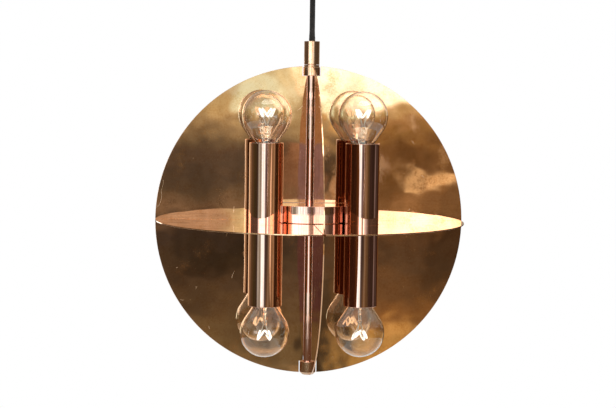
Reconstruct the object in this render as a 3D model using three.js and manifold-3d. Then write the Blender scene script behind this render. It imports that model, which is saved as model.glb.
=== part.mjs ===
// Pendant lamp: three equal round sheets of polished copper cross at right angles in a globe
// of eight open cells, and four upright tubes hold a clear bulb at each end, one to a cell.
// Millimetres, +Z up. The origin is the middle of the ceiling plate's top face.
import * as THREE from "three";
import { mergeVertices } from "three/addons/utils/BufferGeometryUtils.js";
import Module from "manifold-3d";

const wasm = await Module();
wasm.setup();

// Clearances
const SEAT_GAP = 0.3; // between a piece and what it sits on or in
const NOTCH_GAP = 0.8; // between an upright sheet's notch and the collar or finial in it
const BULB_MOUTH_GAP = 2.25; // between a tube's mouth and the glass cone that passes it
const OVERCUT = 1; // how far a cutting tool reaches past the edge that it cuts

// Sheets
const SHEET_DIAMETER = 280;
const SHEET_THICKNESS = 1;
const SLOT_MOUTH_WIDTH = 4; // the level sheet's slots open out at the rim
const SLOT_MOUTH_DEPTH = 3;

// Stem, its two ends and the cap over the cord
const STEM_DIAMETER = 8;
const STEM_WALL = 1;
const STEM_INTO_CAP = 9;
const COLLAR_DIAMETER = 15.2;
const COLLAR_HEIGHT = 7.7;
const COLLAR_NECK_HEIGHT = 2;
const COLLAR_SINK = 8.7; // the collar's foot below the top of the rim
const FINIAL_DIAMETER = 14.6;
const FINIAL_HEIGHT = 12;
const FINIAL_FLOOR = 3.5;
const FINIAL_CHAMFER = 2.2;
const FINIAL_SINK = 10.5; // the finial's top above the bottom of the rim
const CAP_DIAMETER = 14;
const CAP_HEIGHT = 21;
const CAP_TOP_THICKNESS = 3.8;
const CAP_WALL = 2;
const CAP_CHAMFER = 0.5;

// Tubes and bulbs
const TUBE_SPACING = 85; // centre to centre, both ways
const TUBE_DIAMETER = 30;
const TUBE_WALL = 1;
const TUBE_LENGTH = 144;
const BULB_DIAMETER = 45;
const BULB_WALL = 0.8;
const BULB_CONE_DEGREES = 34; // between the glass cone's wall and its axis
const BULB_NECK_LENGTH = 1.2; // straight glass between the cap's rim and the cone
const BULB_CAP_DIAMETER = 13.8;
const BULB_CAP_LENGTH = 22.5;
const BULB_CAP_WALL = 0.9;
const BULB_CONTACT_DIAMETER = 5;
const BULB_CONTACT_HEIGHT = 1.2;
const BULB_CAP_TAPER = 2.8;
const GLASS_IN_CAP = 6;
const MOUNT_DIAMETER = 4.4;
const MOUNT_HEIGHT = 26; // from the rim of the bulb's cap to the top of the glass mount
const FILAMENT_WIDTH = 18;
const FILAMENT_RISE = 13; // above the glass mount
const SUPPORT_WIRE_DIAMETER = 0.8;
const HOLDER_LENGTH = 25;
const HOLDER_FLANGE_HEIGHT = 6;
const HOLDER_BODY_DIAMETER = 23;
const HOLDER_FLOOR = 5;

// Hub and wiring
const HUB_HEIGHT = 15.2;
const HUB_WALL = 1.2;
const NIPPLE_DIAMETER = 6.4;
const NIPPLE_WALL = 1;
const NIPPLE_OVERHANG = 2.2; // past the hub's wall inside, and past the tube's wall
const JUNCTION_DIAMETER = 42;
const JUNCTION_HEIGHT = 6;
const JUNCTION_BORE_DIAMETER = 11;
const LEAD_DIAMETER = 2.4;
const LEAD_LOOP_DIAMETER = 25;
const FLEX_DIAMETER = 4.8;
const CORE_DIAMETER = 2;

// Cord
const CORD_DIAMETER = 5;
const CORD_SHOWING = 46; // from the cap's top up to the swivel ball
const CORD_IN_CAP = 4;

// Ceiling fitting
const CANOPY_DIAMETER = 76;
const CANOPY_HEIGHT = 46;
const CANOPY_WALL = 1.2;
const CANOPY_STRAIGHT = 14; // its upright wall, before it curves in
const CANOPY_FLOOR_DIAMETER = 34;
const CANOPY_TOP_GAP = 0.5; // from the ceiling to the canopy's rim
const PLATE_THICKNESS = 2;
const PLATE_SKIRT_HEIGHT = 9;
const PLATE_SKIRT_WALL = 1.6;
const SUPPLY_HOLE_DIAMETER = 14;
const SUPPLY_HOLE_OFFSET = 17; // behind the middle
const PLATE_HOLE_DIAMETER = 4.5;
const PLATE_HOLE_SPACING = 50;
const SCREW_DIAMETER = 3;
const SCREW_LENGTH = 6;
const SCREW_HEAD_DIAMETER = 6;
const SCREW_HEAD_HEIGHT = 2.4;
const BALL_DIAMETER = 19;
const BALL_HOLE_DIAMETER = 16.4; // in the canopy's floor
const BALL_FLAT = 0.5; // cut off the ball's top and bottom
const CLAMP_WIDTH = 12;
const CLAMP_HEIGHT = 7;
const CONNECTOR_SIZE = [18, 12, 11];

// How many flat sides round pieces have
const SHEET_SIDES = 96;
const HUB_SIDES = 48;
const CANOPY_SIDES = 30;
const TUBE_SIDES = 24;
const STEM_SIDES = 20;
const BULB_SIDES = 14;
const SMALL_SIDES = 12;
const STALK_SIDES = 8;
const WIRE_SIDES = 6;

// Heights above the level sheet's middle plane, and radii, that follow from the sizes
const halfSheet = SHEET_THICKNESS / 2;
const sheetRadius = SHEET_DIAMETER / 2;
const stemRadius = STEM_DIAMETER / 2;
const stemBoreRadius = stemRadius + SEAT_GAP;
const tubeRadius = TUBE_DIAMETER / 2;
const tubeInnerRadius = tubeRadius - TUBE_WALL;
const tubeEnd = TUBE_LENGTH / 2;
const tubeDistance = Math.hypot(TUBE_SPACING, TUBE_SPACING) / 2;
const hubRadius = tubeDistance - tubeRadius - SEAT_GAP;
const hubBottom = halfSheet + SEAT_GAP;
const hubTop = hubBottom + HUB_HEIGHT;
const collarBottom = sheetRadius - COLLAR_SINK;
const collarTop = collarBottom + COLLAR_HEIGHT + COLLAR_NECK_HEIGHT;
const capBottom = collarTop + SEAT_GAP;
const capTop = capBottom + CAP_HEIGHT;
const capCavityTop = capTop - CAP_TOP_THICKNESS;
const finialTop = FINIAL_SINK - sheetRadius;
const finialBottom = finialTop - FINIAL_HEIGHT;
const stemBottom = finialBottom + FINIAL_FLOOR + SEAT_GAP;
const stemTop = capBottom + STEM_INTO_CAP;
const cordBottom = capTop - CORD_IN_CAP;
const cordHoleRadius = CORD_DIAMETER / 2 + SEAT_GAP;
const junctionTop = hubBottom + JUNCTION_HEIGHT;
const leadHeight = junctionTop + SEAT_GAP + LEAD_DIAMETER / 2;
const bulbRadius = BULB_DIAMETER / 2;
const bulbCapInnerRadius = BULB_CAP_DIAMETER / 2 - BULB_CAP_WALL;
const bulbNeckRadius = bulbCapInnerRadius - SEAT_GAP;
const bulbCone = THREE.MathUtils.degToRad(BULB_CONE_DEGREES);
const bulbCentre = tubeEnd + coneDepth(bulbRadius + BULB_MOUTH_GAP, tubeInnerRadius);
const bulbCapRim = bulbCentre - coneDepth(bulbRadius, bulbNeckRadius) - BULB_NECK_LENGTH;
const bulbBase = bulbCapRim - BULB_CAP_LENGTH;
const holderFloor = bulbBase - SEAT_GAP;
const holderBottom = holderFloor - HOLDER_FLOOR;

// Heights below the ceiling, as negative numbers
const canopyFloorTop = CANOPY_WALL - CANOPY_HEIGHT;
const ballRadius = BALL_DIAMETER / 2;
const ballCentre = canopyFloorTop + Math.sqrt((ballRadius + SEAT_GAP) ** 2 - (BALL_HOLE_DIAMETER / 2) ** 2);
const ballBottom = ballCentre - ballRadius + BALL_FLAT;
const clampBottom = ballCentre + ballRadius - BALL_FLAT + SEAT_GAP;
const connectorBottom = clampBottom + CLAMP_HEIGHT + SEAT_GAP;
const lampCentre = ballBottom - CORD_SHOWING - capTop;

// How far below a ball's centre the cone that touches the ball narrows to a radius.
function coneDepth(ballRadius, radius) {
  return ballRadius / Math.sin(bulbCone) - radius / Math.tan(bulbCone);
}

const finishes = {
  copper: { color: "#b87a4e", metalness: 1, roughness: 0.18 },
  polishedCopper: { color: "#c98a5c", metalness: 1, roughness: 0.08 },
  brass: { color: "#c9a45c", metalness: 1, roughness: 0.3 },
  steel: { color: "#b9bbbd", metalness: 1, roughness: 0.35 },
  ceramic: { color: "#e8e2d4", metalness: 0, roughness: 0.4 },
  darkPlastic: { color: "#2a2624", metalness: 0, roughness: 0.45 },
  palePlastic: { color: "#ded8c8", metalness: 0, roughness: 0.5 },
  textile: { color: "#1c1b1c", metalness: 0, roughness: 0.95 },
  cable: { color: "#d8d2c4", metalness: 0, roughness: 0.6 },
  clearGlass: { color: "#f4f6f4", metalness: 0, roughness: 0.02, transparent: true, opacity: 0.3 },
};

const lamp = new THREE.Group();
const pendant = new THREE.Group();
pendant.position.z = lampCentre;
lamp.add(pendant);

function addPiece(parent, name, geometry, finish) {
  const mesh = new THREE.Mesh(geometry, new THREE.MeshStandardMaterial(finishes[finish]));
  mesh.name = name;
  parent.add(mesh);
  return mesh;
}

// A manifold solid from a closed three.js geometry.
function solidOf(geometry) {
  const bare = geometry.clone();
  bare.deleteAttribute("normal");
  bare.deleteAttribute("uv");
  const merged = mergeVertices(bare, 1e-5);
  const vertProperties = Float32Array.from(merged.attributes.position.array);
  const triVerts = Uint32Array.from(merged.index.array);
  return new wasm.Manifold(new wasm.Mesh({ numProp: 3, vertProperties, triVerts }));
}

function geometryOf(solid) {
  const { vertProperties, triVerts } = solid.getMesh();
  const geometry = new THREE.BufferGeometry();
  geometry.setAttribute("position", new THREE.BufferAttribute(vertProperties, 3));
  geometry.setIndex(new THREE.BufferAttribute(triVerts, 1));
  return geometry;
}

function cut(geometry, ...tools) {
  return geometryOf(tools.reduce((solid, tool) => solid.subtract(solidOf(tool)), solidOf(geometry)));
}

function join(geometry, ...others) {
  return geometryOf(others.reduce((solid, other) => solid.add(solidOf(other)), solidOf(geometry)));
}

// Turns a profile of [radius, height] points round the Z axis. The points run up the outside
// and down the inside; a profile that doesn't start and end on the axis is closed here.
function turned(profile, sides) {
  const points = profile.map(([radius, height]) => new THREE.Vector2(radius, height));
  const onAxis = profile[0][0] === 0 && profile.at(-1)[0] === 0;
  if (!onAxis) points.push(points[0].clone());
  return new THREE.LatheGeometry(points, sides).rotateX(Math.PI / 2);
}

function rod(diameter, length, sides) {
  return new THREE.CylinderGeometry(diameter / 2, diameter / 2, length, sides).rotateX(Math.PI / 2);
}

// A rod along +X from one distance to another.
function spoke(diameter, from, to, height, sides) {
  return rod(diameter, to - from, sides)
    .rotateY(Math.PI / 2)
    .translate((from + to) / 2, 0, height);
}

// Level sheet: slots from the hub out to the rim take the upright sheets, and round holes the tubes.
function levelSheet() {
  const slotWidth = SHEET_THICKNESS + 2 * SEAT_GAP;
  const tallTool = 4 * SHEET_THICKNESS;
  const slotLength = sheetRadius - hubRadius + OVERCUT;
  const tools = [rod(2 * stemBoreRadius, tallTool, STEM_SIDES)];
  for (let quarter = 0; quarter < 4; quarter++) {
    const slot = new THREE.BoxGeometry(slotLength, slotWidth, tallTool);
    slot.translate(hubRadius + slotLength / 2, 0, 0);
    const mouth = new THREE.Shape([
      new THREE.Vector2(sheetRadius - SLOT_MOUTH_DEPTH, 0),
      new THREE.Vector2(sheetRadius + OVERCUT, -SLOT_MOUTH_WIDTH / 2),
      new THREE.Vector2(sheetRadius + OVERCUT, SLOT_MOUTH_WIDTH / 2),
    ]);
    const mouthTool = new THREE.ExtrudeGeometry(mouth, { depth: tallTool, bevelEnabled: false });
    mouthTool.translate(0, 0, -tallTool / 2);
    const hole = rod(TUBE_DIAMETER + 2 * SEAT_GAP, tallTool, TUBE_SIDES).translate(tubeDistance, 0, 0);
    const turn = (quarter * Math.PI) / 2;
    tools.push(slot.rotateZ(turn), mouthTool.rotateZ(turn), hole.rotateZ(turn + Math.PI / 4));
  }
  return cut(rod(SHEET_DIAMETER, SHEET_THICKNESS, SHEET_SIDES), ...tools);
}

// Upright half sheet: one outline in distance from the stem and height, with a notch for the
// collar at the top, one for the finial at the bottom and one for the hub and level sheet.
function halfSheetUpright() {
  const collarNotch = COLLAR_DIAMETER / 2 + NOTCH_GAP;
  const finialNotch = FINIAL_DIAMETER / 2 + NOTCH_GAP;
  const top = collarBottom - SEAT_GAP;
  const bottom = finialTop + SEAT_GAP;
  const hubNotch = hubRadius + SEAT_GAP;
  const outline = new THREE.Shape();
  outline.moveTo(stemBoreRadius, bottom);
  outline.lineTo(finialNotch, bottom);
  const startAngle = -Math.acos(finialNotch / sheetRadius);
  const endAngle = Math.acos(collarNotch / sheetRadius);
  outline.absarc(0, 0, sheetRadius, startAngle, endAngle, false);
  outline.lineTo(collarNotch, top);
  outline.lineTo(stemBoreRadius, top);
  outline.lineTo(stemBoreRadius, hubTop + SEAT_GAP);
  outline.lineTo(hubNotch, hubTop + SEAT_GAP);
  outline.lineTo(hubNotch, -halfSheet - SEAT_GAP);
  outline.lineTo(stemBoreRadius, -halfSheet - SEAT_GAP);
  const extrusion = { depth: SHEET_THICKNESS, bevelEnabled: false, curveSegments: SHEET_SIDES / 4 };
  return new THREE.ExtrudeGeometry(outline, extrusion).translate(0, 0, -halfSheet).rotateX(Math.PI / 2);
}

// Stem: one long tube, with a window in its wall inside the hub for the wires.
function stemTube() {
  const inner = stemRadius - STEM_WALL;
  const wall = [[inner, stemBottom], [stemRadius, stemBottom], [stemRadius, stemTop], [inner, stemTop]];
  const window = spoke(CORE_DIAMETER + 4 * SEAT_GAP, 0, STEM_DIAMETER, leadHeight, SMALL_SIDES);
  return cut(turned(wall, STEM_SIDES), window);
}

function stemCollar() {
  const wide = COLLAR_DIAMETER / 2;
  const narrow = CAP_DIAMETER / 2;
  const step = collarBottom + COLLAR_HEIGHT;
  const profile = [
    [stemBoreRadius, collarBottom],
    [wide, collarBottom],
    [wide, step],
    [narrow, step],
    [narrow, collarTop],
    [stemBoreRadius, collarTop],
  ];
  return turned(profile, STEM_SIDES);
}

function cordCap() {
  const outer = CAP_DIAMETER / 2;
  const profile = [
    [stemBoreRadius, capBottom],
    [outer, capBottom],
    [outer, capTop - CAP_CHAMFER],
    [outer - CAP_CHAMFER, capTop],
    [cordHoleRadius, capTop],
    [cordHoleRadius, capCavityTop],
    [outer - CAP_WALL, capCavityTop],
    [outer - CAP_WALL, stemTop + SEAT_GAP],
    [stemBoreRadius, stemTop + SEAT_GAP],
  ];
  return turned(profile, STEM_SIDES);
}

function finial() {
  const outer = FINIAL_DIAMETER / 2;
  const profile = [
    [0, finialBottom],
    [outer - FINIAL_CHAMFER, finialBottom],
    [outer, finialBottom + FINIAL_CHAMFER],
    [outer, finialTop],
    [stemBoreRadius, finialTop],
    [stemBoreRadius, finialBottom + FINIAL_FLOOR],
    [0, finialBottom + FINIAL_FLOOR],
  ];
  return turned(profile, STEM_SIDES);
}

// Hub: a round drum, open below, that stands on the level sheet and covers the wiring.
function hubDrum() {
  const profile = [
    [stemBoreRadius, hubTop - HUB_WALL],
    [hubRadius - HUB_WALL, hubTop - HUB_WALL],
    [hubRadius - HUB_WALL, hubBottom],
    [hubRadius, hubBottom],
    [hubRadius, hubTop],
    [stemBoreRadius, hubTop],
  ];
  const holes = quarterTurns((angle) => nippleHole(hubRadius - 4 * HUB_WALL, tubeDistance).rotateZ(angle));
  return cut(turned(profile, HUB_SIDES), ...holes);
}

function nippleHole(from, to) {
  return spoke(NIPPLE_DIAMETER + 2 * SEAT_GAP, from, to, leadHeight, SMALL_SIDES);
}

// What make gives for each tube's direction from the stem.
function quarterTurns(make) {
  return [1, 3, 5, 7].map((eighth) => make((eighth * Math.PI) / 4));
}

// Junction ring: a ceramic terminal ring that sits on the level sheet round the stem.
function junctionRing() {
  const inner = JUNCTION_BORE_DIAMETER / 2;
  const outer = JUNCTION_DIAMETER / 2;
  const wall = [[inner, hubBottom], [outer, hubBottom], [outer, junctionTop], [inner, junctionTop]];
  return turned(wall, TUBE_SIDES);
}

// Wiring: a ring lead on the junction ring, four spokes out through the nipples, and in each
// tube an upright lead from one lampholder to the other.
function wiringHarness() {
  const loop = new THREE.TorusGeometry(LEAD_LOOP_DIAMETER / 2, LEAD_DIAMETER / 2, WIRE_SIDES, TUBE_SIDES);
  const leadEnd = holderBottom - SEAT_GAP;
  const branches = quarterTurns((angle) => [
    spoke(LEAD_DIAMETER, LEAD_LOOP_DIAMETER / 2, tubeDistance, leadHeight, WIRE_SIDES).rotateZ(angle),
    rod(LEAD_DIAMETER, 2 * leadEnd, WIRE_SIDES).translate(tubeDistance, 0, 0).rotateZ(angle),
  ]);
  return join(loop.translate(0, 0, leadHeight), ...branches.flat());
}

// Flex inside the stem, with a core that leaves through the stem's window.
function stemFlex() {
  const top = cordBottom - SEAT_GAP;
  const bottom = leadHeight - FLEX_DIAMETER;
  const flex = rod(FLEX_DIAMETER, top - bottom, SMALL_SIDES).translate(0, 0, (top + bottom) / 2);
  const coreEnd = (LEAD_LOOP_DIAMETER - LEAD_DIAMETER) / 2 - SEAT_GAP;
  return join(flex, spoke(CORE_DIAMETER, 0, coreEnd, leadHeight, WIRE_SIDES));
}

// Nipple: a short threaded tube through the hub's wall and the lamp tube's wall.
function tubeNipple() {
  const from = hubRadius - HUB_WALL - NIPPLE_OVERHANG;
  const to = tubeDistance - tubeInnerRadius + NIPPLE_OVERHANG;
  const outer = NIPPLE_DIAMETER / 2;
  const inner = outer - NIPPLE_WALL;
  const wall = [[inner, from], [outer, from], [outer, to], [inner, to]];
  return turned(wall, SMALL_SIDES).rotateY(Math.PI / 2).translate(0, 0, leadHeight);
}

// Tube, about its own axis, with the nipple's hole in the wall that faces the stem.
function lampTube(towardsStem) {
  const wall = [
    [tubeInnerRadius, -tubeEnd],
    [tubeRadius, -tubeEnd],
    [tubeRadius, tubeEnd],
    [tubeInnerRadius, tubeEnd],
  ];
  return cut(turned(wall, TUBE_SIDES), nippleHole(0, TUBE_DIAMETER).rotateZ(towardsStem));
}

// Lampholder, bulb glass, bulb cap and filament mount all stand on their tube's axis, and
// heights are distances from the level sheet out towards the bulb's tip.
function lampholder() {
  const flange = tubeInnerRadius - SEAT_GAP;
  const body = HOLDER_BODY_DIAMETER / 2;
  const bore = BULB_CAP_DIAMETER / 2 + SEAT_GAP;
  const rim = holderBottom + HOLDER_LENGTH;
  const profile = [
    [0, holderBottom],
    [flange, holderBottom],
    [flange, holderBottom + HOLDER_FLANGE_HEIGHT],
    [body, holderBottom + HOLDER_FLANGE_HEIGHT],
    [body, rim],
    [bore, rim],
    [bore, holderFloor],
    [0, holderFloor],
  ];
  return turned(profile, SMALL_SIDES);
}

// The wall's profile from the neck up to the tip: a ball, and a cone that touches it all round.
function glassProfile(inset, steps) {
  const radius = bulbRadius - inset;
  const neck = bulbNeckRadius - inset;
  const points = [[neck, bulbCapRim - GLASS_IN_CAP], [neck, bulbCentre - coneDepth(radius, neck)]];
  for (let step = 0; step < steps; step++) {
    const angle = THREE.MathUtils.lerp(-bulbCone, Math.PI / 2, step / steps);
    points.push([radius * Math.cos(angle), bulbCentre + radius * Math.sin(angle)]);
  }
  points.push([0, bulbCentre + radius]);
  return points;
}

function bulbGlass() {
  const outside = glassProfile(0, 7);
  const inside = glassProfile(BULB_WALL, 5);
  return turned([...inside.reverse(), ...outside], BULB_SIDES);
}

function bulbCap() {
  const outer = BULB_CAP_DIAMETER / 2;
  const contact = BULB_CONTACT_DIAMETER / 2;
  const shoulder = bulbBase + BULB_CONTACT_HEIGHT + BULB_CAP_TAPER;
  const profile = [
    [0, bulbBase],
    [contact, bulbBase],
    [contact, bulbBase + BULB_CONTACT_HEIGHT],
    [outer, shoulder],
    [outer, bulbCapRim],
    [bulbCapInnerRadius, bulbCapRim],
    [bulbCapInnerRadius, shoulder + BULB_CAP_WALL],
    [0, shoulder + BULB_CAP_WALL],
  ];
  return turned(profile, SMALL_SIDES);
}

// Filament mount: a glass stalk flared to the neck, two support wires in a V and the filament.
function filamentMount() {
  const flare = bulbNeckRadius - BULB_WALL - SEAT_GAP;
  const stalk = MOUNT_DIAMETER / 2;
  const bottom = bulbCapRim - GLASS_IN_CAP;
  const top = bulbCapRim + MOUNT_HEIGHT;
  const profile = [[0, bottom], [flare, bottom], [stalk, bulbCapRim + flare], [stalk, top], [0, top]];
  const tip = new THREE.Vector3(FILAMENT_WIDTH / 2, 0, top + FILAMENT_RISE);
  const foot = new THREE.Vector3(stalk / 2, 0, top - stalk);
  const mirrored = (point) => new THREE.Vector3(-point.x, 0, point.z);
  const sag = new THREE.Vector3(0, 0, top + FILAMENT_RISE / 2);
  const wires = [
    wire(new THREE.LineCurve3(foot, tip), 1),
    wire(new THREE.LineCurve3(mirrored(foot), mirrored(tip)), 1),
    wire(new THREE.QuadraticBezierCurve3(mirrored(tip), sag, tip), 6),
  ];
  return join(turned(profile, STALK_SIDES), ...wires);
}

function wire(curve, steps) {
  const half = SUPPORT_WIRE_DIAMETER / 2;
  const section = new THREE.Shape([
    new THREE.Vector2(half, 0),
    new THREE.Vector2(0, half),
    new THREE.Vector2(-half, 0),
    new THREE.Vector2(0, -half),
  ]);
  return new THREE.ExtrudeGeometry(section, { extrudePath: curve, steps });
}

// Ceiling plate: a shallow pan with a skirt, a hole for the supply cable and two for screws.
function ceilingPlate() {
  const outer = CANOPY_DIAMETER / 2 - CANOPY_WALL - SEAT_GAP;
  const inner = outer - PLATE_SKIRT_WALL;
  const skirtBottom = -PLATE_THICKNESS - PLATE_SKIRT_HEIGHT;
  const profile = [
    [0, -PLATE_THICKNESS],
    [inner, -PLATE_THICKNESS],
    [inner, skirtBottom],
    [outer, skirtBottom],
    [outer, 0],
    [0, 0],
  ];
  const hole = (diameter, x, y) => rod(diameter, 4 * PLATE_THICKNESS, SMALL_SIDES).translate(x, y, 0);
  const holes = [
    hole(SUPPLY_HOLE_DIAMETER, 0, SUPPLY_HOLE_OFFSET),
    hole(PLATE_HOLE_DIAMETER, PLATE_HOLE_SPACING / 2, 0),
    hole(PLATE_HOLE_DIAMETER, -PLATE_HOLE_SPACING / 2, 0),
    canopyScrewHole(outer - 2 * PLATE_SKIRT_WALL),
  ];
  return cut(turned(profile, CANOPY_SIDES), ...holes);
}

const canopyScrewHeight = -PLATE_THICKNESS - PLATE_SKIRT_HEIGHT / 2;

function canopyScrewHole(from) {
  return spoke(SCREW_DIAMETER + 2 * SEAT_GAP, from, CANOPY_DIAMETER, canopyScrewHeight, SMALL_SIDES);
}

// Canopy: a deep cup with a rounded shoulder, whose floor has a round hole for the ball.
function canopyCup() {
  const profileAt = (inset) => {
    const straight = CANOPY_DIAMETER / 2 - inset;
    const floor = CANOPY_FLOOR_DIAMETER / 2;
    const curveTop = -CANOPY_STRAIGHT;
    const bottom = inset - CANOPY_HEIGHT;
    const points = [[straight, -CANOPY_TOP_GAP], [straight, curveTop]];
    const steps = 5;
    for (let step = 1; step <= steps; step++) {
      const angle = ((step / steps) * Math.PI) / 2;
      const radius = floor + (straight - floor) * Math.cos(angle);
      points.push([radius, curveTop + (bottom - curveTop) * Math.sin(angle)]);
    }
    points.push([BALL_HOLE_DIAMETER / 2, bottom]);
    return points;
  };
  const shell = turned([...profileAt(CANOPY_WALL), ...profileAt(0).reverse()], CANOPY_SIDES);
  return cut(shell, canopyScrewHole(CANOPY_FLOOR_DIAMETER / 2));
}

function canopyScrew() {
  const seat = CANOPY_DIAMETER / 2 + SEAT_GAP;
  const height = canopyScrewHeight;
  const shank = spoke(SCREW_DIAMETER, seat - SCREW_LENGTH, seat + SCREW_HEAD_HEIGHT / 2, height, SMALL_SIDES);
  const head = spoke(SCREW_HEAD_DIAMETER, seat, seat + SCREW_HEAD_HEIGHT, height, SMALL_SIDES);
  return join(shank, head);
}

// Swivel ball: it hangs in the canopy's floor and the cord runs down through it.
function swivelBall() {
  const steps = 8;
  const flatAngle = Math.asin((ballRadius - BALL_FLAT) / ballRadius);
  const profile = [[cordHoleRadius, ballBottom]];
  for (let step = 0; step <= steps; step++) {
    const angle = THREE.MathUtils.lerp(-flatAngle, flatAngle, step / steps);
    profile.push([ballRadius * Math.cos(angle), ballCentre + ballRadius * Math.sin(angle)]);
  }
  profile.push([cordHoleRadius, ballCentre + ballRadius - BALL_FLAT]);
  return turned(profile, TUBE_SIDES);
}

function cordClamp() {
  const hexagon = rod(CLAMP_WIDTH / Math.cos(Math.PI / 6), CLAMP_HEIGHT, 6);
  const nut = cut(hexagon, rod(2 * cordHoleRadius, 2 * CLAMP_HEIGHT, SMALL_SIDES));
  return nut.translate(0, 0, clampBottom + CLAMP_HEIGHT / 2);
}

// Cord: a straight run from inside the cap, up through the ball and clamp, to the connector.
function cordRun() {
  const section = new THREE.Shape();
  for (let side = 0; side < SMALL_SIDES; side++) {
    const angle = (side / SMALL_SIDES) * 2 * Math.PI;
    const corner = [(CORD_DIAMETER / 2) * Math.cos(angle), (CORD_DIAMETER / 2) * Math.sin(angle)];
    if (side === 0) section.moveTo(...corner);
    else section.lineTo(...corner);
  }
  section.closePath();
  const bottom = new THREE.Vector3(0, 0, lampCentre + cordBottom);
  const top = new THREE.Vector3(0, 0, connectorBottom - SEAT_GAP);
  const steps = Math.ceil((top.z - bottom.z) / (2.5 * CORD_DIAMETER));
  return new THREE.ExtrudeGeometry(section, { extrudePath: new THREE.LineCurve3(bottom, top), steps });
}

// Ceiling fitting
addPiece(lamp, "ceiling_plate", ceilingPlate(), "steel");
addPiece(lamp, "canopy_cup", canopyCup(), "copper");
addPiece(lamp, "canopy_screw", canopyScrew(), "brass");
addPiece(lamp, "swivel_ball", swivelBall(), "brass");
addPiece(lamp, "cord_clamp", cordClamp(), "palePlastic");
const connector = addPiece(lamp, "connector_block", new THREE.BoxGeometry(...CONNECTOR_SIZE), "palePlastic");
connector.position.z = connectorBottom + CONNECTOR_SIZE[2] / 2;
addPiece(lamp, "cord", cordRun(), "textile");

// Stem
addPiece(pendant, "cord_cap", cordCap(), "polishedCopper");
addPiece(pendant, "stem_collar", stemCollar(), "polishedCopper");
addPiece(pendant, "stem_tube", stemTube(), "polishedCopper");
addPiece(pendant, "stem_flex", stemFlex(), "cable");
addPiece(pendant, "finial", finial(), "polishedCopper");

// Sheets
addPiece(pendant, "sheet_level", levelSheet(), "copper");
const uprights = { sheet_right: 0, sheet_rear: 1, sheet_left: 2, sheet_front: 3 };
for (const [name, quarter] of Object.entries(uprights)) {
  addPiece(pendant, name, halfSheetUpright(), "copper").rotation.z = (quarter * Math.PI) / 2;
}

// Hub
addPiece(pendant, "hub_drum", hubDrum(), "polishedCopper");
addPiece(pendant, "junction_ring", junctionRing(), "ceramic");
addPiece(pendant, "wiring_harness", wiringHarness(), "cable");

// Tubes, each with a lampholder and a bulb at its top and bottom
const corners = { rear_right: [1, 1], rear_left: [-1, 1], front_left: [-1, -1], front_right: [1, -1] };
for (const [corner, [x, y]] of Object.entries(corners)) {
  const outwards = Math.atan2(y, x);
  addPiece(pendant, `nipple_${corner}`, tubeNipple(), "brass").rotation.z = outwards;
  const place = new THREE.Vector3((x * TUBE_SPACING) / 2, (y * TUBE_SPACING) / 2, 0);
  addPiece(pendant, `tube_${corner}`, lampTube(outwards + Math.PI), "polishedCopper").position.copy(place);
  for (const end of ["top", "bottom"]) {
    const socket = new THREE.Group();
    socket.position.copy(place);
    socket.rotation.x = end === "top" ? 0 : Math.PI;
    pendant.add(socket);
    addPiece(socket, `holder_${corner}_${end}`, lampholder(), "darkPlastic");
    addPiece(socket, `bulb_${corner}_${end}_cap`, bulbCap(), "brass");
    addPiece(socket, `bulb_${corner}_${end}_glass`, bulbGlass(), "clearGlass");
    addPiece(socket, `bulb_${corner}_${end}_mount`, filamentMount(), "clearGlass");
  }
}

export default lamp;
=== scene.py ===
import math
from functools import partial

import bmesh
import bpy
import numpy as np
from mathutils import Matrix, Vector


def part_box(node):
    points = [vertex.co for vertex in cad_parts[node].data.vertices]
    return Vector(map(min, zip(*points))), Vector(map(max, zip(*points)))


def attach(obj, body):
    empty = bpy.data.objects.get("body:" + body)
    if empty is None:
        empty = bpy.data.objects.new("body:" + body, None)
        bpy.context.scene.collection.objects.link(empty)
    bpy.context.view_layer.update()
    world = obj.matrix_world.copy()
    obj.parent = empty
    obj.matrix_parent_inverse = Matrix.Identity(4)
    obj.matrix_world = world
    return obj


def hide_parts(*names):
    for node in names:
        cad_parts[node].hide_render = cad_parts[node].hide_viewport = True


# Pendant lamp: three crossed round sheets of polished copper, four upright tubes with a clear
# bulb at each end, and a black textile cord up to a copper canopy on the ceiling.
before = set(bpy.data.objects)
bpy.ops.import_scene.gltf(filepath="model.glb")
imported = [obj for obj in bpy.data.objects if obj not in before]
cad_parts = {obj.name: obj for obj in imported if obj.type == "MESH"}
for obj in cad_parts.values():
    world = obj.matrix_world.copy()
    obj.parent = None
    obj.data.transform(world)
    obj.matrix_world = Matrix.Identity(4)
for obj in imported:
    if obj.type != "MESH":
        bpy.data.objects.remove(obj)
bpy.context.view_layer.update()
MM = 0.001

# Camera
# It stands a little to the left of square to one upright sheet, and a little above the lamp's
# middle, about 1.4 m away with a long lens, as the photograph was taken.
CAMERA_FROM_LAMP = Vector((-120.3, -1387, 123.5)) * MM
CAMERA_YAW, CAMERA_PITCH, CAMERA_ROLL = (math.radians(degrees) for degrees in (4.89, -4.46, 0.8))
CAMERA_LENS, CAMERA_SENSOR = 89.65, 36


def add_object(name, data):
    """Puts data in the scene as an object."""
    added = bpy.data.objects.new(name, data)
    bpy.context.scene.collection.objects.link(added)
    return added


level_low, level_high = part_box("sheet_level")
lamp_middle = (level_low + level_high) / 2
camera_data = bpy.data.cameras.new("camera")
camera_data.lens, camera_data.sensor_width = CAMERA_LENS, CAMERA_SENSOR
camera = add_object("camera", camera_data)
bpy.context.scene.camera = camera
camera.matrix_world = (
    Matrix.Translation(lamp_middle + CAMERA_FROM_LAMP)
    @ Matrix.Rotation(-CAMERA_YAW, 4, "Z")
    @ Matrix.Rotation(math.pi / 2 + CAMERA_PITCH, 4, "X")
    @ Matrix.Rotation(CAMERA_ROLL, 4, "Z")
)

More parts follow.
